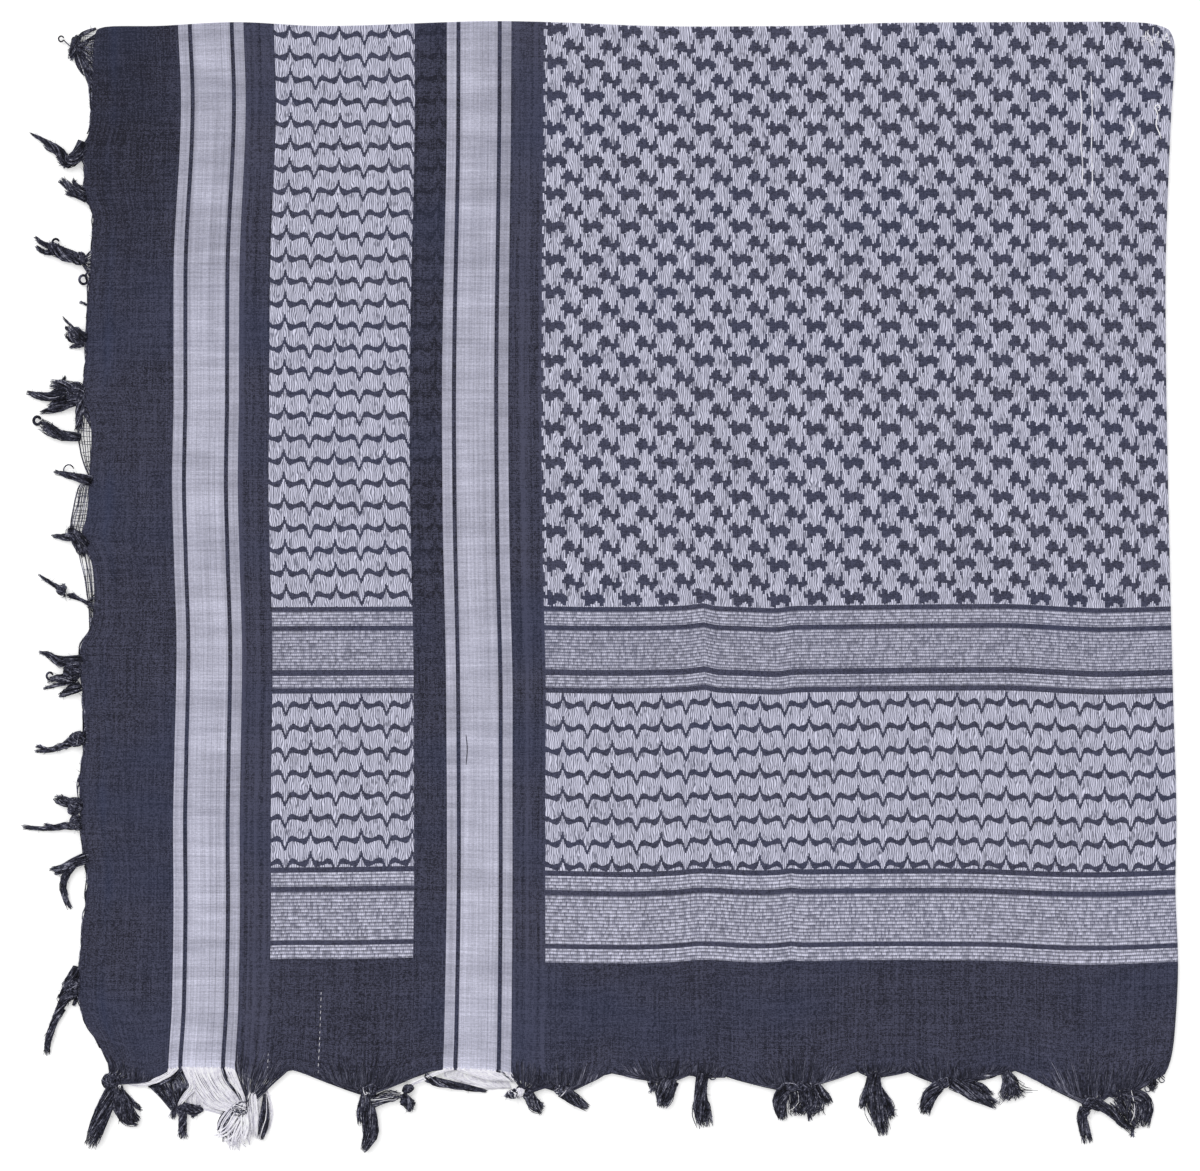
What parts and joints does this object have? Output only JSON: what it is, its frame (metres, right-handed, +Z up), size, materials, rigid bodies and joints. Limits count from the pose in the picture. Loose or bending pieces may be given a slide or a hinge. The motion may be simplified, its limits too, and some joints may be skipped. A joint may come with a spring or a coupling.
{
  "type": "keffiyeh headscarf",
  "caption": "Square navy and white cotton headscarf folded in quarters, with woven stripes, wave and houndstooth patterns and knotted tassels on its open edges.",
  "frame": {"origin": "on the surface that the folded scarf lies on, under the middle of the box of its cloth and tassels", "axes": "+Z up from that surface, +X towards the right-hand fold, +Y towards the top fold"},
  "size_m": [0.58, 0.566, 0.0055],
  "materials": {
    "patterned_cotton": "woven navy and white cotton",
    "navy_thread": "loose and knotted navy cotton thread",
    "white_thread": "loose and knotted white cotton thread"
  },
  "bodies": {
    "root": {"top_layer": "patterned_cotton", "hidden_layers": "patterned_cotton", "tassel_left_01": "navy_thread", "tassel_left_02": "navy_thread", "tassel_left_03": "navy_thread", "tassel_left_04": "navy_thread", "tassel_left_05": "navy_thread", "tassel_left_06": "navy_thread", "tassel_left_07": "navy_thread", "tassel_left_08": "navy_thread", "tassel_left_09": "navy_thread", "tassel_left_10": "navy_thread", "tassel_left_11": "navy_thread", "tassel_left_12": "navy_thread", "tassel_left_13": "navy_thread", "tassel_bottom_01": "navy_thread", "tassel_bottom_02": "navy_thread", "tassel_bottom_03": "navy_thread", "tassel_bottom_04": "white_thread", "tassel_bottom_05": "navy_thread", "tassel_bottom_06": "navy_thread", "tassel_bottom_07": "navy_thread", "tassel_bottom_08": "navy_thread", "tassel_bottom_09": "navy_thread", "tassel_bottom_10": "navy_thread", "tassel_bottom_11": "navy_thread", "tassel_bottom_12": "navy_thread", "tassel_bottom_13": "navy_thread", "tassel_bottom_14": "navy_thread", "tassel_bottom_15": "navy_thread"}
  },
  "joints": []
}
